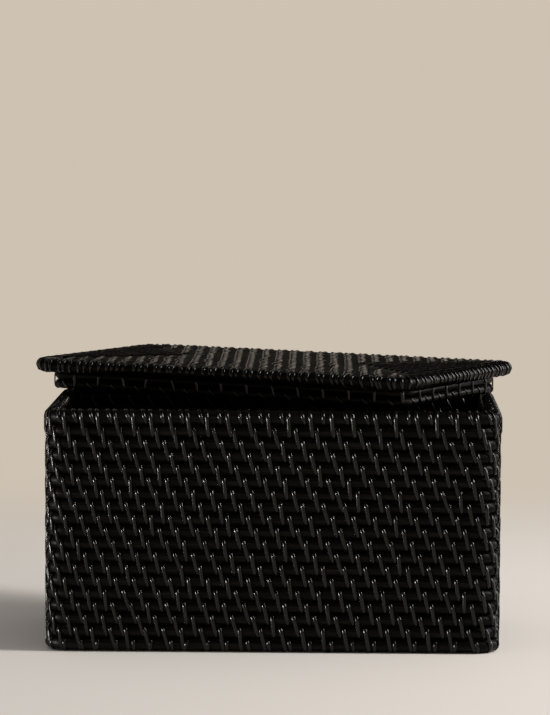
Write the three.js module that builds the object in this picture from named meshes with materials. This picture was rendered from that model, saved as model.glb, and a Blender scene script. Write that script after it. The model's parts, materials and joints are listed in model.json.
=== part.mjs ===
// A lidded storage box of coiled rattan, in millimetres, +Z up.
// The walls are a stack of rattan hoops. The base and the lid's top are flat rings of such hoops
// round a straight centre rod. Each solid is one rod together with the thin cane lashed round it.
// Origin: the middle of the base's underside. +X runs along the box's length, +Y to its back.
import * as THREE from 'three';

// The box
const BOX_LENGTH = 320;
const BOX_DEPTH = 175;
const BOX_CORNER_RADIUS = 17;
const WALL_ROWS = 19;
const WALL_PITCH = 8.8;
const BOTTOM_ROW_HEIGHT = 10.1;
const RIM_ROW_HEIGHT = 11.3;
const WALL_THICKNESS = 10.2;

// The two flat panels: the base, set inside the walls, and the lid's top
const PANEL_THICKNESS = 10.9;
const BASE_ROWS = 9;
const LID_ROWS = 9;

// The lid's edge, which is as long and as deep as the box
const LID_CORNER_RADIUS = 19.5;
const LID_RIM_ROD = 10.4;

// The lid's collar, which drops into the box's mouth
const COLLAR_HOOPS = ['collar_lower_hoop', 'collar_upper_hoop'];
const COLLAR_PITCH = 6.5;
const COLLAR_THICKNESS = 7.8;
const COLLAR_CLEARANCE = 1.3;
const COLLAR_CORNER_RADIUS = 13.5;

// How the lid lies on the box: turned clockwise, seen from above, and pushed back
const LID_TURN_DEGREES = 28.5;
const LID_SHIFT_X = -2.7;
const LID_SHIFT_Y = 57;

// Rods that touch keep this gap
const GAP = 0.3;
// A rod's section is an octagon, whose corner cuts are this share of its smaller side
const ROD_ROUNDING = 0.28;
// A bend tighter than this is a square corner
const TIGHTEST_BEND = 1;
// Each quarter turn of a hoop has twice as many flats as this
const ARC_SEGMENTS = 3;

// Sizes that follow from the ones above
const MOUTH_LENGTH = BOX_LENGTH - 2 * WALL_THICKNESS;
const MOUTH_DEPTH = BOX_DEPTH - 2 * WALL_THICKNESS;
const MOUTH_CORNER_RADIUS = Math.max(BOX_CORNER_RADIUS - WALL_THICKNESS, 0);
const RIM_HEIGHT = BOTTOM_ROW_HEIGHT + (WALL_ROWS - 2) * WALL_PITCH + RIM_ROW_HEIGHT;
const COLLAR_HEIGHT = COLLAR_HOOPS.length * COLLAR_PITCH;

// Near-black stained rod, and the glossier cane that covers the rods along the edges
const stainedRod = { color: 0x15130f, roughness: 0.5, metalness: 0 };
const lacqueredCane = { color: 0x1c1a17, roughness: 0.35, metalness: 0 };

// A rounded rectangle about the origin, as a shape or as a hole's path.
function outline(PathClass, length, depth, radius) {
  const path = new PathClass();
  const x = length / 2;
  const y = depth / 2;
  if (radius <= TIGHTEST_BEND) {
    path.moveTo(-x, -y);
    path.lineTo(x, -y);
    path.lineTo(x, y);
    path.lineTo(-x, y);
    path.closePath();
    return path;
  }
  path.moveTo(-x + radius, -y);
  path.lineTo(x - radius, -y);
  path.absarc(x - radius, -y + radius, radius, -Math.PI / 2, 0, false);
  path.lineTo(x, y - radius);
  path.absarc(x - radius, y - radius, radius, 0, Math.PI / 2, false);
  path.lineTo(-x + radius, y);
  path.absarc(-x + radius, y - radius, radius, Math.PI / 2, Math.PI, false);
  path.lineTo(-x, -y + radius);
  path.absarc(-x + radius, -y + radius, radius, Math.PI, 1.5 * Math.PI, false);
  return path;
}

// Raises an outline to a rod of the given height that stands on z = 0, its long edges cut back.
function raise(shape, height, rounding) {
  const geometry = new THREE.ExtrudeGeometry(shape, {
    depth: height - 2 * rounding,
    bevelEnabled: true,
    bevelThickness: rounding,
    bevelSize: rounding,
    bevelOffset: -rounding,
    bevelSegments: 1,
    curveSegments: ARC_SEGMENTS,
  });
  geometry.translate(0, 0, rounding);
  return geometry;
}

// One rod: its outline seen from above, at its widest, and its height.
function rod(name, finish, shape, width, height, z) {
  const rounding = ROD_ROUNDING * Math.min(width, height);
  const mesh = new THREE.Mesh(raise(shape, height, rounding), new THREE.MeshStandardMaterial(finish));
  mesh.name = name;
  mesh.position.z = z;
  return mesh;
}

// A rod bent to a closed hoop: length, depth and radius are its outside, and width is the rod's own.
function hoop(name, finish, { length, depth, radius, width, height }, z) {
  const rounding = ROD_ROUNDING * Math.min(width, height);
  const shape = outline(THREE.Shape, length, depth, radius > rounding ? radius : 0);
  shape.holes.push(outline(THREE.Path, length - 2 * width, depth - 2 * width, radius - width));
  return rod(name, finish, shape, width, height, z);
}

// A flat panel of hoops, each inside the last, that close on a straight centre rod.
// length, depth and radius are the outside of its outermost hoop. A row of each hoop's two long
// sides and the centre rod share out the depth.
function panel(prefix, { length, depth, radius, rows }, z) {
  const group = new THREE.Group();
  const pitch = depth / (2 * rows + 1);
  const width = pitch - GAP;
  for (let row = 0; row < rows; row += 1) {
    const inset = row * pitch;
    group.add(hoop(`${prefix}_hoop_${String(row + 1).padStart(2, '0')}`, stainedRod, {
      length: length - 2 * inset,
      depth: depth - 2 * inset,
      radius: Math.max(radius - inset, 0),
      width,
      height: PANEL_THICKNESS,
    }, z));
  }
  const middle = outline(THREE.Shape, length - 2 * rows * pitch, width, 0);
  group.add(rod(`${prefix}_centre_rod`, stainedRod, middle, width, PANEL_THICKNESS, z));
  return group;
}

// The walls: hoops, one on another. The lowest has cane under it as well, so it takes more height.
// So does the topmost, the rim, which the cane covers.
function walls() {
  const group = new THREE.Group();
  let z = 0;
  for (let row = 0; row < WALL_ROWS; row += 1) {
    const isRim = row === WALL_ROWS - 1;
    const name = isRim ? 'wall_rim_hoop' : `wall_hoop_${String(row + 1).padStart(2, '0')}`;
    const lowerRow = row === 0 ? BOTTOM_ROW_HEIGHT : WALL_PITCH;
    const rowHeight = isRim ? RIM_ROW_HEIGHT : lowerRow;
    group.add(hoop(name, isRim ? lacqueredCane : stainedRod, {
      length: BOX_LENGTH,
      depth: BOX_DEPTH,
      radius: BOX_CORNER_RADIUS,
      width: WALL_THICKNESS,
      height: rowHeight - GAP,
    }, z));
    z += rowHeight;
  }
  return group;
}

// The base: a panel that fills the mouth of the lowest wall hoops, level with their underside.
function base() {
  return panel('base', {
    length: MOUTH_LENGTH - 2 * GAP,
    depth: MOUTH_DEPTH - 2 * GAP,
    radius: MOUTH_CORNER_RADIUS - GAP,
    rows: BASE_ROWS,
  }, 0);
}

// The collar: hoops under the lid's top, a clearance smaller all round than the box's mouth.
function collar() {
  const group = new THREE.Group();
  COLLAR_HOOPS.forEach((name, row) => {
    group.add(hoop(name, row === 0 ? lacqueredCane : stainedRod, {
      length: MOUTH_LENGTH - 2 * COLLAR_CLEARANCE,
      depth: MOUTH_DEPTH - 2 * COLLAR_CLEARANCE,
      radius: COLLAR_CORNER_RADIUS,
      width: COLLAR_THICKNESS,
      height: COLLAR_PITCH - GAP,
    }, row * COLLAR_PITCH));
  });
  return group;
}

// The lid, whose collar's underside is z = 0 of its own group: the collar, a panel on it and a
// thick rod round the panel's edge.
function lid() {
  const group = new THREE.Group();
  group.add(collar());
  group.add(panel('lid', {
    length: BOX_LENGTH - 2 * (LID_RIM_ROD + GAP),
    depth: BOX_DEPTH - 2 * (LID_RIM_ROD + GAP),
    radius: Math.max(LID_CORNER_RADIUS - LID_RIM_ROD - GAP, 0),
    rows: LID_ROWS,
  }, COLLAR_HEIGHT));
  group.add(hoop('lid_rim_rod', lacqueredCane, {
    length: BOX_LENGTH,
    depth: BOX_DEPTH,
    radius: LID_CORNER_RADIUS,
    width: LID_RIM_ROD,
    height: LID_RIM_ROD,
  }, COLLAR_HEIGHT));
  group.position.set(LID_SHIFT_X, LID_SHIFT_Y, RIM_HEIGHT);
  group.rotation.z = THREE.MathUtils.degToRad(-LID_TURN_DEGREES);
  return group;
}

const storageBox = new THREE.Group();
storageBox.add(walls());
storageBox.add(base());
storageBox.add(lid());

export default storageBox;
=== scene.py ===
import json
import math
import random

import bpy
from mathutils import Matrix, Vector

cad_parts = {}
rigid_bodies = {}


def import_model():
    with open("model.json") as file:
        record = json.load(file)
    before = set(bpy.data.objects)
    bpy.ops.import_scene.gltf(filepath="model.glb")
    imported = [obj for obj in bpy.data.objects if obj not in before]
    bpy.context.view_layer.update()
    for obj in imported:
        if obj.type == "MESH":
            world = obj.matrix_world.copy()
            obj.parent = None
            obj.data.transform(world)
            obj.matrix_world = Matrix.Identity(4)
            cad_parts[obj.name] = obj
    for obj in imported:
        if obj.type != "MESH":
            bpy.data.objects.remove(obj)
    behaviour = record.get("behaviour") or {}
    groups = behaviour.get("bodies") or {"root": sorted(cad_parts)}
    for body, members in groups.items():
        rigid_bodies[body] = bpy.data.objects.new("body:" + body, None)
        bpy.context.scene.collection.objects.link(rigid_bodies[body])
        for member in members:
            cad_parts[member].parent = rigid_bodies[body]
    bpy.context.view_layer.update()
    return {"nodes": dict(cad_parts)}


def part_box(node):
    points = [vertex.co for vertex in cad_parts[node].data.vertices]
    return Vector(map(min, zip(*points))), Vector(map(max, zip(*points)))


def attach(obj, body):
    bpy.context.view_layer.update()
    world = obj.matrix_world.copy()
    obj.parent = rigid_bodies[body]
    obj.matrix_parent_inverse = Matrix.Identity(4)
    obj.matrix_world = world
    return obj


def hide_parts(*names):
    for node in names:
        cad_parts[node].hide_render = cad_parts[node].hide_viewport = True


# What Blender starts with goes first
for leftover in list(bpy.data.objects):
    bpy.data.objects.remove(leftover)
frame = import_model()
bpy.ops.object.select_all(action="DESELECT")


# The wall hoops
# Lengths of round rattan core, stained near-black. Each is steamed, bent round the four corners
# and closed by a butt joint at the back. Nineteen of them lie one on another.
ROD_RADIUS = 0.00446
EDGE_ROD_RADIUS = 0.00455
RIM_ROD_RADIUS = 0.0051
RIM_PRESS = 0.0002
ROD_SIDES = 18
ROD_STEP = 0.004
MERGE_SHARE = 0.01
CANE_THICKNESS = 0.0008
WALL_CORNER_RADIUS = 0.017
CORNER_STEPS = 8
CORNER_LEAD = 0.25
JOINT_GAP = 0.0002
ROD_WAVES = 0.0004
ROD_WAVE_SIZE = 0.03
SMOOTH_BELOW = math.radians(50)
STAIN_GLOSS = 0.06
STAIN_GRAIN = (22, 620, 620)
STAIN_GRAIN_DETAIL = 3
STAIN_DARK = (0.35, (0.0005, 0.00045, 0.0004, 1))
STAIN_PALE = (0.72, (0.0062, 0.0048, 0.0038, 1))
STAIN_ROUGHNESS = (0.5, 0.32)
STAIN_RELIEF = (0.7, 0.0005)
STAIN_PATCHES = 35
PATCH_DARK = (0.3, (0.62, 0.62, 0.68, 1))
PATCH_PALE = (0.7, (1, 0.94, 0.86, 1))


def bending_line(length, depth, corner):
    """A closed line round a rectangle with round corners. It starts at the middle of the back, turns left
    at each corner and so runs to the right along the front. A point shortly before and after each corner
    keeps the sides straight."""
    points = [(0, depth / 2)]
    for quarter, (side_x, side_y) in enumerate(((-1, 1), (-1, -1), (1, -1), (1, 1))):
        middle = Vector((side_x * (length / 2 - corner), side_y * (depth / 2 - corner)))
        out = Vector((0, corner))
        along = Vector((-CORNER_LEAD * corner / CORNER_STEPS, 0))
        turn = Matrix.Rotation(quarter * math.pi / 2, 2)
        points.append(middle + turn @ (out - along))
        for step in range(CORNER_STEPS + 1):
            bend = Matrix.Rotation(step / CORNER_STEPS * math.pi / 2, 2)
            points.append(middle + turn @ bend @ out)
        after = Matrix.Rotation(math.pi / 2, 2) @ (out + along)
        points.append(middle + turn @ after)
    line = bpy.data.curves.new("bending_line", "CURVE")
    line.dimensions = "3D"
    line.twist_mode = "Z_UP"
    spline = line.splines.new("POLY")
    spline.points.add(len(points) - 1)
    for point, (x, y) in zip(spline.points, points):
        point.co = (x, y, 0, 1)
    spline.use_cyclic_u = True
    former = bpy.data.objects.new("bending_line", line)
    bpy.context.collection.objects.link(former)
    return former


def line_length(length, depth, corner):
    """How long a bending line is."""
    return 2 * (length + depth) - 8 * corner + 2 * math.pi * corner


def pick(piece):
    """Makes one piece the selected and active one."""
    bpy.ops.object.select_all(action="DESELECT")
    piece.select_set(True)
    bpy.context.view_layer.objects.active = piece


def apply(piece, modifier):
    pick(piece)
    bpy.ops.object.modifier_apply(modifier=modifier.name)


def settle(piece):
    """Leaves the place, turn and size of a finished piece in its mesh."""
    pick(piece)
    bpy.ops.object.transform_apply(location=True, rotation=True, scale=True)


def bend_round(piece, length, depth, corner):
    """Bends a piece that was made straight along +X, its outside towards -Y, round a rectangle."""
    former = bending_line(length, depth, corner)
    bend = piece.modifiers.new("Bend", "CURVE")
    bend.object = former
    bend.deform_axis = "POS_X"
    apply(piece, bend)
    bpy.data.objects.remove(former)


def straight_rod(name, length, radius, thickness=None):
    """A straight round rod along +X from the origin, closed at both ends. thickness is its height,
    where that isn't twice its radius."""
    steps = round(length / ROD_STEP)
    step = length / steps
    bpy.ops.mesh.primitive_cylinder_add(vertices=ROD_SIDES, radius=radius, depth=step,
                                        end_fill_type="NOTHING", location=(step / 2, 0, 0),
                                        rotation=(0, math.pi / 2, 0))
    rod = bpy.context.active_object
    rod.name = name
    if thickness:
        rod.scale = (thickness / 2 / radius, 1, 1)
    settle(rod)
    repeat = rod.modifiers.new("Repeat", "ARRAY")
    repeat.count = steps
    repeat.use_relative_offset = False
    repeat.use_constant_offset = True
    repeat.constant_offset_displace = (step, 0, 0)
    repeat.use_merge_vertices = True
    repeat.merge_threshold = MERGE_SHARE * step
    apply(rod, repeat)
    bpy.ops.object.mode_set(mode="EDIT")
    bpy.ops.mesh.select_all(action="SELECT")
    bpy.ops.mesh.fill_holes(sides=ROD_SIDES)
    bpy.ops.object.mode_set(mode="OBJECT")
    return rod


def lay_grain(piece, start):
    """Keeps where each point lies on the straight piece, for the grain to follow. start is how far along
    the cane it was cut, so that no two pieces have the same grain."""
    grain = piece.data.attributes.new("grain", "FLOAT_VECTOR", "POINT")
    for point, value in zip(piece.data.vertices, grain.data):
        value.vector = point.co + Vector((start, 0, 0))


def make_uneven(rod):
    """Gives a straight rod the slight waves of a natural one."""
    for direction in ("Y", "Z"):
        waves = bpy.data.textures.new("waves", "CLOUDS")
        waves.noise_scale = ROD_WAVE_SIZE
        wave = rod.modifiers.new("Waves", "DISPLACE")
        wave.texture = waves
        wave.direction = direction
        wave.strength = ROD_WAVES
        wave.mid_level = 0.5
        apply(rod, wave)


def smooth(piece):
    pick(piece)
    bpy.ops.object.shade_smooth_by_angle(angle=SMOOTH_BELOW)


def ramp(nodes, links, value, dark, pale):
    """A colour that goes from dark to pale with a value. Each is a value and the colour it gives."""
    colour = nodes.new("ShaderNodeValToRGB")
    for element, (position, tone) in zip(colour.color_ramp.elements, (dark, pale)):
        element.position = position
        element.color = tone
    links.new(value, colour.inputs["Fac"])
    return colour.outputs["Color"]


def fibrous_material(name, specular, grain, detail, dark, pale, roughness, relief):
    """A near-black surface of fibres that run along the piece. grain is how closely they lie in each
    direction, roughness is that of the dark and of the pale ones, and relief is the strength and the depth
    of the grooves between them. Also gives back the grain's place and the colour, to be built on."""
    material = bpy.data.materials.new(name)
    material.use_nodes = True
    nodes = material.node_tree.nodes
    links = material.node_tree.links
    shader = nodes["Principled BSDF"]
    shader.inputs["Specular IOR Level"].default_value = specular
    place = nodes.new("ShaderNodeAttribute")
    place.attribute_name = "grain"
    stretch = nodes.new("ShaderNodeMapping")
    stretch.inputs["Scale"].default_value = grain
    links.new(place.outputs["Vector"], stretch.inputs["Vector"])
    fibres = nodes.new("ShaderNodeTexNoise")
    fibres.inputs["Scale"].default_value = 1
    fibres.inputs["Detail"].default_value = detail
    links.new(stretch.outputs["Vector"], fibres.inputs["Vector"])
    colour = ramp(nodes, links, fibres.outputs["Fac"], dark, pale)
    links.new(colour, shader.inputs["Base Color"])
    gloss = nodes.new("ShaderNodeMapRange")
    gloss.inputs["To Min"].default_value = roughness[0]
    gloss.inputs["To Max"].default_value = roughness[1]
    links.new(fibres.outputs["Fac"], gloss.inputs["Value"])
    links.new(gloss.outputs["Result"], shader.inputs["Roughness"])
    grooves = nodes.new("ShaderNodeBump")
    grooves.inputs["Strength"].default_value = relief[0]
    grooves.inputs["Distance"].default_value = relief[1]
    links.new(fibres.outputs["Fac"], grooves.inputs["Height"])
    links.new(grooves.outputs["Normal"], shader.inputs["Normal"])
    return material, place.outputs["Vector"], colour


def stained_rod_material():
    """Matt to satin, near-black, with fine grooves along the grain, and browner and bluer patches."""
    material, place, colour = fibrous_material("stained_rod", STAIN_GLOSS, STAIN_GRAIN, STAIN_GRAIN_DETAIL,
                                               STAIN_DARK, STAIN_PALE, STAIN_ROUGHNESS, STAIN_RELIEF)
    nodes = material.node_tree.nodes
    links = material.node_tree.links
    patches = nodes.new("ShaderNodeTexNoise")
    patches.inputs["Scale"].default_value = STAIN_PATCHES
    links.new(place, patches.inputs["Vector"])
    tint = nodes.new("ShaderNodeMix")
    tint.data_type = "RGBA"
    tint.blend_type = "MULTIPLY"
    tint.inputs["Factor"].default_value = 1
    links.new(colour, tint.inputs["A"])
    links.new(ramp(nodes, links, patches.outputs["Fac"], PATCH_DARK, PATCH_PALE), tint.inputs["B"])
    links.new(tint.outputs["Result"], nodes["Principled BSDF"].inputs["Base Color"])
    return material


def finish_rod(rod, start, middle, path=None):
    """Gives a straight rod its grain and its waves, brings its middle line into place and bends it round
    the path, if there is one."""
    lay_grain(rod, start)
    rod.location = middle
    settle(rod)
    make_uneven(rod)
    if path:
        bend_round(rod, *path)
    smooth(rod)
    rod.data.materials.append(stained_rod)


def ride(piece, body):
    """Fixes a piece to its body, and keeps a list of the lid's."""
    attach(piece, body)
    if body == "lid":
        lid_pieces.append(piece)


lid_pieces = []
stained_rod = stained_rod_material()
rim_low, rim_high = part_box("wall_rim_hoop")
wall_length = rim_high.x - rim_low.x
wall_depth = rim_high.y - rim_low.y
rod_inset = CANE_THICKNESS + EDGE_ROD_RADIUS
rod_path = (wall_length - 2 * rod_inset, wall_depth - 2 * rod_inset, WALL_CORNER_RADIUS - rod_inset)
wall_nodes = sorted(name for name in frame["nodes"] if name.startswith("wall_hoop_")) + ["wall_rim_hoop"]
wall_rods = []
for row, node in enumerate(wall_nodes):
    low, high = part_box(node)
    radius = ROD_RADIUS
    middle = (low.z + high.z) / 2
    if row == 0:
        radius = EDGE_ROD_RADIUS
        middle = high.z - radius
    if node == "wall_rim_hoop":
        radius = RIM_ROD_RADIUS
        middle = wall_rods[-1][0] + wall_rods[-1][1] + radius - RIM_PRESS
    rod = straight_rod(f"{node}_rod", line_length(*rod_path) - JOINT_GAP, radius)
    finish_rod(rod, row, (0, 0, middle), rod_path)
    ride(rod, "box")
    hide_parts(node)
    wall_rods.append((middle, radius))


# The wall lashing
# Split cane with its glossy skin outside, lacquered near-black. A strip goes down over two rods on the
# outside, in between two rods, up inside and out again, and so on round the box, one strip for each pair.
# The rim and the lowest hoop have a row of short wraps of their own between those stitches.
CANE_WIDTH = 0.0026
SECTION_POINTS = 5
UNDERSIDE_SHARE = 0.99
UNDERSIDE_SPREAD = 1.45
GROOVE_SQUEEZE = 0.35
WELD_DISTANCE = CANE_THICKNESS / 20
OUTER_TURNS = 3
INNER_TURNS = 2
STRAIGHT_STEPS = 4
STITCHES_ROUND = 74
STITCH_SLANT = 0.0035
RIM_STITCH_SLANT = 0.0024
RIM_WRAP_SLANT = 0.003
SLANT_SPREAD = 0.0010
PLACE_SPREAD = 0.0004
FIRST_STITCH = 0.08
RIM_SHIFT = 0.1
ROW_STEP = 0.387
ROW_STEP_GROWTH = 0.0006
CROWDING = 0.0098
CROWDED_FROM = 0.0464
CROWDING_ROUNDS = 20
CANE_SEED = 7
GRAIN_SHIFT = 0.37
CANE_GLOSS = 0.25
CANE_GRAIN = (60, 2400, 1)
CANE_GRAIN_DETAIL = 2
CANE_DARK = (0.3, (0.0006, 0.0005, 0.0004, 1))
CANE_PALE = (0.75, (0.0030, 0.0024, 0.0020, 1))
CANE_ROUGHNESS = (0.26, 0.18)
CANE_RELIEF = (0.35, 0.0002)
LACQUER_WEIGHT = 0.05
LACQUER_ROUGHNESS = 0.2


def cane_section(radius):
    """The section of a strip of cane, domed on its outer side, where it comes over the top of a rod whose
    middle is the origin. Leaves it selected in edit mode."""
    bpy.ops.mesh.primitive_circle_add(vertices=SECTION_POINTS, radius=1, location=(0, 0, 0))
    strip = bpy.context.active_object
    low = min(point.co.y for point in strip.data.vertices)
    bpy.ops.object.mode_set(mode="EDIT")
    bpy.ops.mesh.select_all(action="DESELECT")
    bpy.ops.object.mode_set(mode="OBJECT")
    # The two points of its flat underside
    for point in strip.data.vertices:
        point.select = point.co.y < UNDERSIDE_SHARE * low
    bpy.ops.object.mode_set(mode="EDIT")
    bpy.ops.transform.resize(value=(UNDERSIDE_SPREAD, 1, 1), center_override=(0, 0, 0))
    bpy.ops.mesh.select_all(action="SELECT")
    bpy.ops.transform.translate(value=(0, -low, 0))
    wide = 2 * math.sin(2 * math.pi / SECTION_POINTS)
    tall = 1 - low
    bpy.ops.transform.resize(value=(CANE_WIDTH / wide, CANE_THICKNESS / tall, 1), center_override=(0, 0, 0))
    bpy.ops.transform.rotate(value=-math.pi / 2, orient_axis="X", center_override=(0, 0, 0))
    bpy.ops.transform.translate(value=(0, 0, radius))
    return strip


def select_ring(strip, ring):
    """Selects one ring of points of a strip, counted from its start, in edit mode."""
    bpy.ops.mesh.select_all(action="DESELECT")
    bpy.ops.object.mode_set(mode="OBJECT")
    for point in strip.data.vertices:
        point.select = point.index // SECTION_POINTS == ring
    bpy.ops.object.mode_set(mode="EDIT")


def cane_turn(upper, lower, slant, advance, pressed=(True, True)):
    """One turn of a strip round two rods, or round one that is given twice. upper and lower hold each
    rod's height and radius. The turn starts above the upper rod, goes down outside, where it leans by
    slant to the right, and up inside to where the next turn starts, advance to the right. pressed says
    whether it is pressed flat between two rods above and below."""
    (top, top_radius), (bottom, bottom_radius) = upper, lower
    strip = cane_section(top_radius)
    strip.name = "turn"
    bpy.ops.transform.translate(value=(0, 0, top))
    straight = STRAIGHT_STEPS if top != bottom else 0
    for steps, height, parts, drop in ((OUTER_TURNS, top, straight, bottom - top),
                                       (OUTER_TURNS, bottom, 0, 0),
                                       (INNER_TURNS, bottom, min(straight, 1), top - bottom),
                                       (INNER_TURNS, top, 0, 0)):
        bpy.ops.mesh.spin(steps=steps, angle=-math.pi / 2, center=(0, 0, height), axis=(1, 0, 0))
        for _ in range(parts):
            bpy.ops.mesh.extrude_edges_move(TRANSFORM_OT_translate={"value": (0, 0, drop / parts)})
    outer_rings = 2 * OUTER_TURNS + straight
    all_rings = outer_rings + 2 * INNER_TURNS + (1 if top != bottom else 0)
    highest = top + top_radius
    lowest = bottom - bottom_radius
    for ring in range(all_rings + 1):
        select_ring(strip, ring)
        height = strip.data.vertices[ring * SECTION_POINTS].co.z
        share = min(max((highest - height) / (highest - lowest), 0), 1)
        move = slant * share if ring <= outer_rings else advance + (slant - advance) * share
        bpy.ops.transform.translate(value=(move, 0, 0))
        if ring in (0, all_rings) and pressed[0]:
            bpy.ops.transform.resize(value=(1, 1, GROOVE_SQUEEZE), center_override=(0, 0, highest))
        if ring == outer_rings and pressed[1]:
            bpy.ops.transform.resize(value=(1, 1, GROOVE_SQUEEZE), center_override=(0, 0, lowest))
    bpy.ops.object.mode_set(mode="OBJECT")
    travel = 0
    crown = strip.data.vertices[0].co.copy()
    grain = strip.data.attributes.new("grain", "FLOAT_VECTOR", "POINT")
    for point, value in zip(strip.data.vertices, grain.data):
        if point.index % SECTION_POINTS == 0:
            travel += (point.co - crown).length
            crown = point.co.copy()
        across = (point.index % SECTION_POINTS) * CANE_WIDTH / SECTION_POINTS
        value.vector = (travel, across, 0)
    strip["turn_length"] = travel
    return strip


def copy_turn(turn, place, number):
    """A copy of a turn of cane with its own mesh, moved by the given matrix. number is how many turns of
    the same cane come before it."""
    copy = turn.copy()
    copy.data = turn.data.copy()
    copy.data.transform(place)
    bpy.context.collection.objects.link(copy)
    for value in copy.data.attributes["grain"].data:
        value.vector = value.vector + Vector((number * turn["turn_length"], number * GRAIN_SHIFT, 0))
    return copy


def join(name, parts):
    """Makes one piece of several."""
    bpy.ops.object.select_all(action="DESELECT")
    for part in parts:
        part.select_set(True)
    bpy.context.view_layer.objects.active = parts[0]
    if len(parts) > 1:
        bpy.ops.object.join()
    parts[0].name = name
    return parts[0]


def weld(piece):
    """Joins turns that meet end to end, closes a strip's cut ends and turns all faces outwards."""
    pick(piece)
    bpy.ops.object.mode_set(mode="EDIT")
    bpy.ops.mesh.select_all(action="SELECT")
    bpy.ops.mesh.remove_doubles(threshold=WELD_DISTANCE)
    bpy.ops.mesh.fill_holes(sides=SECTION_POINTS)
    bpy.ops.mesh.select_all(action="SELECT")
    bpy.ops.mesh.normals_make_consistent(inside=False)
    bpy.ops.object.mode_set(mode="OBJECT")
    bpy.ops.object.shade_smooth()


def lean_and_stretch(place, stretch, lean, top):
    """Moves a turn along to its place, stretches it to reach the next one, and leans it: its foot moves
    by lean times its height below top, and its ends stay."""
    leaning = Matrix.Identity(4)
    leaning[0][2] = -lean
    leaning[0][3] = lean * top
    return Matrix.Translation((place, 0, 0)) @ leaning @ Matrix.Scale(stretch, 4, (1, 0, 0))


def lacquered_cane_material():
    """The skin of the cane under its lacquer: near-black and glossy, with the faint lines of its fibres."""
    material, _, _ = fibrous_material("lacquered_cane", CANE_GLOSS, CANE_GRAIN, CANE_GRAIN_DETAIL,
                                      CANE_DARK, CANE_PALE, CANE_ROUGHNESS, CANE_RELIEF)
    shader = material.node_tree.nodes["Principled BSDF"]
    shader.inputs["Coat Weight"].default_value = LACQUER_WEIGHT
    shader.inputs["Coat Roughness"].default_value = LACQUER_ROUGHNESS
    return material


def finish_lashing(piece, body):
    """Gives a finished lashing its material and fixes it to its body."""
    piece.data.materials.clear()
    piece.data.materials.append(lacquered_cane)
    ride(piece, body)


def stitch_places(tier):
    """Where the stitches of one tier start, along the line round the walls. Tiers are counted from the rim
    down. The stitches crowd together on the left of the front and spread out on its right, and from tier
    to tier they step to the right. Those of the rim stand a little further on."""
    first = FIRST_STITCH + ROW_STEP * tier + ROW_STEP_GROWTH * tier ** 2
    if tier < 1:
        first += RIM_SHIFT
    first -= math.floor(first) + STITCHES_ROUND / 2
    crowd_period = wall_round / 2
    places = []
    for number in range(STITCHES_ROUND):
        even = wall_round * (first + number) / STITCHES_ROUND
        place = even
        for _ in range(CROWDING_ROUNDS):
            place = even + CROWDING * math.sin(2 * math.pi * (place - CROWDED_FROM) / crowd_period)
        places.append(place + wall_round / 2 + cane_draw.uniform(-1, 1) * PLACE_SPREAD)
    return places


def turns_along(turn, places, step, slant, upper, lower, start):
    """Copies of a turn of cane that was made for a step and a slant, one from each place to the next, each
    leaning a little differently. The last place is only where the strip ends."""
    top = upper[0] + upper[1]
    drop = top - lower[0] + lower[1]
    turns = []
    for number, (place, following) in enumerate(zip(places, places[1:])):
        stretch = (following - place) / step if step else 1
        lean = (cane_draw.gauss(0, SLANT_SPREAD) + slant * (1 - stretch)) / drop
        turns.append(copy_turn(turn, lean_and_stretch(place, stretch, lean, top), start + number))
    bpy.data.objects.remove(turn)
    return turns


def lash_round(name, turns, shift, path, body, place):
    """Joins turns of cane that were laid out along +X and shifted to their distance from the path, bends
    them round it, brings them to their place and finishes them."""
    for part in turns:
        part.data.transform(shift)
    lashing = join(name, turns)
    weld(lashing)
    bend_round(lashing, *path)
    weld(lashing)
    lashing.matrix_world = place
    settle(lashing)
    finish_lashing(lashing, body)


lacquered_cane = lacquered_cane_material()
wall_path = (wall_length, wall_depth, WALL_CORNER_RADIUS)
wall_round = line_length(*wall_path)
onto_wall_rods = Matrix.Translation((0, rod_inset, 0))
cane_draw = random.Random(CANE_SEED)
stitch_step = wall_round / STITCHES_ROUND
last = len(wall_rods) - 1
for tier in range(last):
    upper = wall_rods[last - tier]
    lower = wall_rods[last - tier - 1]
    places = stitch_places(tier)
    slant = STITCH_SLANT if tier else RIM_STITCH_SLANT
    turn = cane_turn(upper, lower, slant, stitch_step, (tier > 0, True))
    turns = turns_along(turn, places + [places[0] + wall_round], stitch_step, slant, upper, lower,
                        tier * STITCHES_ROUND)
    lash_round(f"wall_lashing_{last - tier:02d}", turns, onto_wall_rods, wall_path, "box", Matrix.Identity(4))

for name, tier, rod, slant, pressed in (("rim_wraps", -1, wall_rods[-1], RIM_WRAP_SLANT, (False, True)),
                                        ("foot_wraps", last, wall_rods[0], 0, (True, True))):
    turn = cane_turn(rod, rod, slant, 0, pressed)
    places = stitch_places(tier)
    turns = turns_along(turn, places + places[-1:], 0, slant, rod, rod, tier * STITCHES_ROUND)
    lash_round(name, turns, onto_wall_rods, wall_path, "box", Matrix.Identity(4))


# The base
# Nine flat hoops of rod, each inside the last, round a straight rod, and lashed like the walls. Each hoop is
# four rods with mitred ends, pressed against its neighbours. The photograph doesn't show the base.
PANEL_PRESS = 0.0005
MITRE_MARGIN = 0.003
PANEL_MARGIN = 0.00005
PANEL_ROD_START = 20
SIDE_TURNS = 30
BASE_STEP = 0.013
BASE_ROW_SHIFT = -0.005


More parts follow.
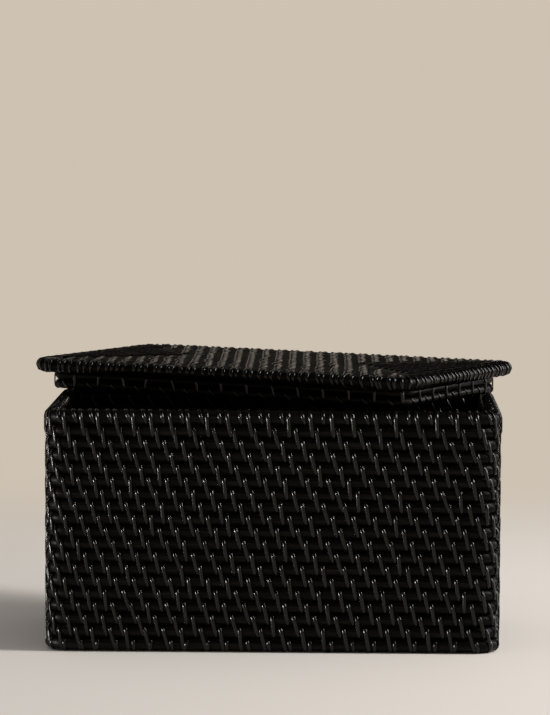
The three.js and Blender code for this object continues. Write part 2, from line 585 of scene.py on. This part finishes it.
def mitred_hoop(name, length, depth, middle, radius, thickness, start):
    """A hoop of four straight rods whose ends are cut at 45 degrees. length and depth are those of its
    middle line, and middle is its height."""
    rods = []
    for side in range(4):
        side_length, distance = (length, depth / 2) if side % 2 == 0 else (depth, length / 2)
        rod_length = side_length + 2 * radius
        rod = straight_rod(name, rod_length, radius, thickness)
        finish_rod(rod, start + side / 4, (-rod_length / 2, -distance, middle))
        pick(rod)
        bpy.ops.object.mode_set(mode="EDIT")
        for end in (-1, 1):
            bpy.ops.mesh.select_all(action="SELECT")
            bpy.ops.mesh.bisect(plane_co=(end * side_length / 2, -distance, 0), plane_no=(end, 1, 0),
                                use_fill=True, clear_outer=True)
        bpy.ops.object.mode_set(mode="OBJECT")
        rod.rotation_euler = (0, 0, side * math.pi / 2)
        settle(rod)
        rods.append(rod)
    hoop = join(name, rods)
    smooth(hoop)
    return hoop


def lay_rod(rod, place, body):
    """Brings a finished rod to its place and fixes it to its body."""
    rod.matrix_world = place
    settle(rod)
    ride(rod, body)


def panel(prefix, length, depth, low, high, body, place, step, row_shift, first):
    """A flat panel of hoops round a centre rod, with its lashing. length and depth are the outside of its
    outermost hoop. place is where the whole panel goes, step is the stitches' distance and row_shift how
    far they move along from one row to the next one inward. The stitches of the rows on both sides of the
    centre rod form lines, and first is where such a line crosses it. Gives back the rods' distance, half
    their width and how much taller than wide they are."""
    nodes = sorted(name for name in frame["nodes"] if name.startswith(f"{prefix}_hoop_"))
    pitch = depth / (2 * len(nodes) + 1)
    radius = (pitch + PANEL_PRESS) / 2
    middle = (low + high) / 2
    tall = ((high - low) / 2 - PANEL_MARGIN) / (radius + CANE_THICKNESS)
    thickness = 2 * radius * tall
    for row, node in enumerate(nodes + [f"{prefix}_centre_rod"]):
        inset = (row + 0.5) * pitch
        line = (length - 2 * inset, depth - 2 * inset)
        if row < len(nodes):
            rod = mitred_hoop(f"{node}_rod", *line, middle, radius, thickness, PANEL_ROD_START + row)
        else:
            rod_length = line[0] + pitch
            rod = straight_rod(f"{node}_rod", rod_length, radius, thickness)
            finish_rod(rod, PANEL_ROD_START + row, (-rod_length / 2, 0, middle))
        lay_rod(rod, place, body)
        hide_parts(node)
    upper = (pitch / 2, radius)
    lower = (-pitch / 2, radius)
    lying = Matrix.Scale(tall, 4, (0, 0, 1)) @ Matrix.Rotation(-math.pi / 2, 4, "X")
    for row in range(len(nodes)):
        turns = []
        for side in range(4):
            side_length, distance = (length, depth / 2) if side % 2 == 0 else (depth, length / 2)
            reach = side_length / 2 - (row + 1.5) * pitch - MITRE_MARGIN
            start = (row + 0.5 - len(nodes)) * row_shift + (first if side < 2 else -first)
            start -= STITCH_SLANT / 2
            leftmost = math.ceil((-reach - start) / step)
            rightmost = math.floor((reach - start) / step)
            places = []
            for number in range(leftmost, rightmost + 1):
                places.append(start + number * step + cane_draw.uniform(-1, 1) * PLACE_SPREAD)
            if not places:
                continue
            places.append(places[-1] + step)
            turn = cane_turn(upper, lower, STITCH_SLANT, step)
            parts = turns_along(turn, places, step, STITCH_SLANT, upper, lower,
                                (4 * row + side) * SIDE_TURNS)
            at = Matrix.Translation((0, (row + 1) * pitch - distance, middle))
            for part in parts:
                part.data.transform(place @ Matrix.Rotation(side * math.pi / 2, 4, "Z") @ at @ lying)
            turns += parts
        lashing = join(f"{prefix}_lashing_{row + 1:02d}", turns)
        weld(lashing)
        finish_lashing(lashing, body)
    return pitch, radius, tall


base_low, base_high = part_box("base_hoop_01")
base_size = base_high - base_low
panel("base", base_size.x, base_size.y, base_low.z, base_high.z, "box", Matrix.Identity(4),
      BASE_STEP, BASE_ROW_SHIFT, 0)


# The lid's top
# A panel of mitred hoops like the base, with the same lashing, whose stitches form lines across it. The
# whole lid is turned clockwise and pushed back on the box.
LID_TURN = math.radians(-28.5)
LID_CORNER_RADIUS = 0.0195
LID_STEP = 0.0116
LID_ROW_SHIFT = -0.00452
LID_FIRST = 0.00512
LID_MARGIN = 0.00015

rim_rod_low, rim_rod_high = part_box("lid_rim_rod")
lid_middle = (rim_rod_low + rim_rod_high) / 2
lid_place = Matrix.Translation((lid_middle.x, lid_middle.y, 0)) @ Matrix.Rotation(LID_TURN, 4, "Z")
lid_path = (wall_length - 2 * LID_MARGIN, wall_depth - 2 * LID_MARGIN, LID_CORNER_RADIUS)
rim_rod_width = rim_rod_high.z - rim_rod_low.z
panel_inset = rim_rod_width - CANE_THICKNESS
top_low, top_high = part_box("lid_hoop_01")
lid_pitch, lid_radius, lid_tall = panel(
    "lid", lid_path[0] - 2 * panel_inset, lid_path[1] - 2 * panel_inset, top_low.z, top_high.z, "lid",
    lid_place, LID_STEP, LID_ROW_SHIFT, LID_FIRST)


# The lid's rim
# A thicker rod round the edge. Cane binds it to the panel's outermost hoop and is wound once more round
# the rim alone between every two of those stitches.
LID_RIM_STITCHES = 82
LID_RIM_SLANT = 0.0016
RIM_ROD_START = 40
RIM_LASHING_START = 4000
RIM_WRAPS_START = 3000

rim_inset = rim_rod_width / 2
rim_radius = rim_inset - CANE_THICKNESS
rim_path = (lid_path[0] - 2 * rim_inset, lid_path[1] - 2 * rim_inset, LID_CORNER_RADIUS - rim_inset)
rod = straight_rod("lid_rim_rod_rod", line_length(*rim_path) - JOINT_GAP, rim_radius)
finish_rod(rod, RIM_ROD_START, (0, 0, lid_middle.z), rim_path)
lay_rod(rod, lid_place, "lid")
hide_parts("lid_rim_rod")

lid_round = line_length(*lid_path)
rim_step = lid_round / LID_RIM_STITCHES
hoop_edge = panel_inset + lid_pitch / 2 + lid_radius
hoop_radius = lid_radius * lid_tall
outer_rod = (rim_inset, rim_radius)
onto_rim_rod = Matrix.Translation((0, 0, lid_middle.z)) @ Matrix.Rotation(-math.pi / 2, 4, "X")
for name, inner_rod, advance, phase, start in (
        ("lid_rim_lashing", (hoop_edge - hoop_radius, hoop_radius), rim_step, 0, RIM_LASHING_START),
        ("lid_rim_wraps", outer_rod, 0, 0.5, RIM_WRAPS_START)):
    turn = cane_turn(inner_rod, outer_rod, LID_RIM_SLANT, advance, (advance > 0, False))
    places = [(phase + number) * rim_step for number in range(LID_RIM_STITCHES + 1)]
    turns = turns_along(turn, places, advance, LID_RIM_SLANT, inner_rod, outer_rod, start)
    lash_round(name, turns, onto_rim_rod, lid_path, "lid", lid_place)


# The lid's collar
# Two thinner hoops, one under the other, that drop into the box's mouth. Strips of cane go round both,
# and between every two of them another winds round the lower one alone.
COLLAR_INSET = 0.0115
COLLAR_CORNER_RADIUS = 0.0135
COLLAR_THICKNESS = 0.0078
COLLAR_STITCHES = 42
COLLAR_SLANT = 0.0006
COLLAR_WRAP_SLANT = 0.004
COLLAR_ROD_START = 50
COLLAR_LASHING_START = 5000

collar_path = (wall_length - 2 * COLLAR_INSET, wall_depth - 2 * COLLAR_INSET, COLLAR_CORNER_RADIUS)
collar_inset = COLLAR_THICKNESS / 2
collar_line = (collar_path[0] - 2 * collar_inset, collar_path[1] - 2 * collar_inset,
               COLLAR_CORNER_RADIUS - collar_inset)
collar_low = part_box("collar_lower_hoop")[0].z
panel_underside = (top_low.z + top_high.z) / 2 - hoop_radius
collar_radius = (panel_underside - collar_low - CANE_THICKNESS) / 4
collar_rods = []
for number, node in enumerate(("collar_lower_hoop", "collar_upper_hoop")):
    middle = collar_low + CANE_THICKNESS + (2 * number + 1) * collar_radius
    rod = straight_rod(f"{node}_rod", line_length(*collar_line) - JOINT_GAP, collar_radius)
    finish_rod(rod, COLLAR_ROD_START + number, (0, 0, middle), collar_line)
    lay_rod(rod, lid_place, "lid")
    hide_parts(node)
    collar_rods.append((middle, collar_radius))

lower, upper = collar_rods
collar_round = line_length(*collar_path)
collar_step = collar_round / COLLAR_STITCHES
onto_collar_rods = Matrix.Translation((0, collar_inset, 0))
for name, top_rod, slant, phase in (("collar_lashing", upper, COLLAR_SLANT, 0),
                                    ("collar_wraps", lower, COLLAR_WRAP_SLANT, 0.5)):
    turn = cane_turn(top_rod, lower, slant, 0)
    places = [(phase + number) * collar_step for number in range(COLLAR_STITCHES + 1)]
    turns = turns_along(turn, places, 0, slant, top_rod, lower, COLLAR_LASHING_START)
    lash_round(name, turns, onto_collar_rods, collar_path, "lid", lid_place)


# The floor
# One pale sheet of paper, so wide that its edges don't show. Near the box it takes the light and the
# shadow, and further off it goes over to the even tone of the background.
FLOOR_HALF_WIDTH = 30
FLOOR_TONE = (0.68, 0.625, 0.57, 1)
BACKGROUND_TONE = (0.617, 0.539, 0.445, 1)
LIT_FLOOR = 0.3
EVEN_FLOOR = 1.1

bpy.ops.mesh.primitive_plane_add(size=2 * FLOOR_HALF_WIDTH, location=(0, 0, 0))
sheet = bpy.context.active_object
sheet.name = "floor"
bpy.ops.object.mode_set(mode="EDIT")
bpy.ops.mesh.subdivide(number_cuts=1)
bpy.ops.object.mode_set(mode="OBJECT")


def seen_or_mirrored(nodes, links):
    """One for what the camera sees, directly or mirrored in something, and nought for the light that falls
    on things."""
    path = nodes.new("ShaderNodeLightPath")
    total = path.outputs["Is Camera Ray"]
    for kind in ("Is Glossy Ray", "Is Transmission Ray"):
        more = nodes.new("ShaderNodeMath")
        more.operation = "MAXIMUM"
        links.new(total, more.inputs[0])
        links.new(path.outputs[kind], more.inputs[1])
        total = more.outputs["Value"]
    return total


def paper_material():
    """Matt paper near the box, going over to an even tone further off, but only where it is seen."""
    material = bpy.data.materials.new("paper")
    material.use_nodes = True
    nodes = material.node_tree.nodes
    links = material.node_tree.links
    shader = nodes["Principled BSDF"]
    shader.inputs["Base Color"].default_value = FLOOR_TONE
    shader.inputs["Roughness"].default_value = 1
    shader.inputs["Specular IOR Level"].default_value = 0
    even = nodes.new("ShaderNodeEmission")
    even.inputs["Color"].default_value = BACKGROUND_TONE
    place = nodes.new("ShaderNodeTexCoord")
    distance = nodes.new("ShaderNodeVectorMath")
    distance.operation = "LENGTH"
    links.new(place.outputs["Object"], distance.inputs[0])
    far = nodes.new("ShaderNodeMapRange")
    far.interpolation_type = "SMOOTHSTEP"
    far.inputs["From Min"].default_value = LIT_FLOOR
    far.inputs["From Max"].default_value = EVEN_FLOOR
    links.new(distance.outputs["Value"], far.inputs["Value"])
    share = nodes.new("ShaderNodeMath")
    share.operation = "MULTIPLY"
    links.new(far.outputs["Result"], share.inputs[0])
    links.new(seen_or_mirrored(nodes, links), share.inputs[1])
    mix = nodes.new("ShaderNodeMixShader")
    links.new(share.outputs["Value"], mix.inputs["Fac"])
    links.new(shader.outputs["BSDF"], mix.inputs[1])
    links.new(even.outputs["Emission"], mix.inputs[2])
    links.new(mix.outputs["Shader"], nodes["Material Output"].inputs["Surface"])
    return material


sheet.data.materials.append(paper_material())


# The light and the camera
# A soft key light from the right, a weaker one further back for the lid's short side, and a low one from
# the left for the bright lines on the wall's cane. Cards keep those two off the floor, and the left one
# off the lid. The camera looks down a little, from right of the middle.
LIGHT_TARGET = Vector((0, 0.05, 0.1))
KEY_DIRECTION = Vector((0.80, -0.14, 0.60))
KEY_DISTANCE = 2.2
KEY_WIDTH = 0.42
KEY_HEIGHT = 0.9
KEY_POWER = 51
ROOM_LIGHT = 0.41
DARK_CEILING = 0.03
LEFT_LIGHT_PLACE = Vector((-1.45, -0.55, 0.07))
LEFT_LIGHT_WIDTH = 0.3
LEFT_LIGHT_HEIGHT = 0.12
LEFT_LIGHT_POWER = 25
RIGHT_LIGHT_PLACE = Vector((1.55, 0.75, 0.5))
RIGHT_LIGHT_WIDTH = 0.5
RIGHT_LIGHT_HEIGHT = 0.5
RIGHT_LIGHT_POWER = 8
BACKDROP_FULL = 8
BACKDROP_GONE = 22
CAMERA_PLACE = (0.0517, -2.509, 0.404)
CAMERA_YAW = 1.184
CAMERA_PITCH = 4.643
CAMERA_ROLL = 0.231
FOCAL_PIXELS = 3502
IMAGE_HEIGHT = 715
SENSOR = 36
NEAREST_SEEN = 0.1
FARTHEST_SEEN = 20


def flat_light(name, place, width, height, power):
    """A rectangular light that faces the box."""
    bpy.ops.object.light_add(type="AREA", location=place)
    light = bpy.context.active_object
    light.name = name
    light.data.shape = "RECTANGLE"
    light.data.size = width
    light.data.size_y = height
    light.data.energy = power
    light.rotation_euler = (place - LIGHT_TARGET).to_track_quat("Z", "Y").to_euler()
    light.visible_camera = False
    return light


def keep_off(light, pieces):
    """Keeps a light off some pieces, as a card held in its way does."""
    shielded = bpy.data.collections.new("shielded")
    for piece in pieces:
        shielded.objects.link(piece)
    for member in shielded.collection_objects:
        member.light_linking.link_state = "EXCLUDE"
    light.light_linking.receiver_collection = shielded


key_place = LIGHT_TARGET + KEY_DIRECTION.normalized() * KEY_DISTANCE
flat_light("key", key_place, KEY_WIDTH, KEY_HEIGHT, KEY_POWER)
left_light = flat_light("left_light", LEFT_LIGHT_PLACE, LEFT_LIGHT_WIDTH, LEFT_LIGHT_HEIGHT,
                        LEFT_LIGHT_POWER)
keep_off(left_light, [sheet] + lid_pieces)
right_light = flat_light("right_light", RIGHT_LIGHT_PLACE, RIGHT_LIGHT_WIDTH, RIGHT_LIGHT_HEIGHT,
                         RIGHT_LIGHT_POWER)
keep_off(right_light, [sheet])
world = bpy.context.scene.world or bpy.data.worlds.new("world")
bpy.context.scene.world = world
world.use_nodes = True
nodes = world.node_tree.nodes
links = world.node_tree.links
room = nodes["Background"]
room.inputs["Color"].default_value = (1, 1, 1, 1)
room.inputs["Strength"].default_value = ROOM_LIGHT
backdrop = nodes.new("ShaderNodeBackground")
direction = nodes.new("ShaderNodeTexCoord")
parts = nodes.new("ShaderNodeSeparateXYZ")
links.new(direction.outputs["Generated"], parts.inputs["Vector"])
height = nodes.new("ShaderNodeMapRange")
height.inputs["From Min"].default_value = math.sin(math.radians(BACKDROP_FULL))
height.inputs["From Max"].default_value = math.sin(math.radians(BACKDROP_GONE))
links.new(parts.outputs["Z"], height.inputs["Value"])
tone = nodes.new("ShaderNodeMix")
tone.data_type = "RGBA"
tone.inputs["A"].default_value = BACKGROUND_TONE
tone.inputs["B"].default_value = (DARK_CEILING, DARK_CEILING, DARK_CEILING, 1)
links.new(height.outputs["Result"], tone.inputs["Factor"])
links.new(tone.outputs["Result"], backdrop.inputs["Color"])
surround = nodes.new("ShaderNodeMixShader")
links.new(seen_or_mirrored(nodes, links), surround.inputs["Fac"])
links.new(room.outputs["Background"], surround.inputs[1])
links.new(backdrop.outputs["Background"], surround.inputs[2])
links.new(surround.outputs["Shader"], nodes["World Output"].inputs["Surface"])

bpy.ops.object.camera_add(location=CAMERA_PLACE)
camera = bpy.context.active_object
camera.matrix_world = (Matrix.Translation(CAMERA_PLACE) @ Matrix.Rotation(math.radians(CAMERA_YAW), 4, "Z")
                       @ Matrix.Rotation(math.radians(90 - CAMERA_PITCH), 4, "X")
                       @ Matrix.Rotation(math.radians(CAMERA_ROLL), 4, "Z"))
camera.data.lens = SENSOR * FOCAL_PIXELS / IMAGE_HEIGHT
camera.data.clip_start = NEAREST_SEEN
camera.data.clip_end = FARTHEST_SEEN
bpy.context.scene.camera = camera
bpy.context.scene.view_settings.view_transform = "Standard"
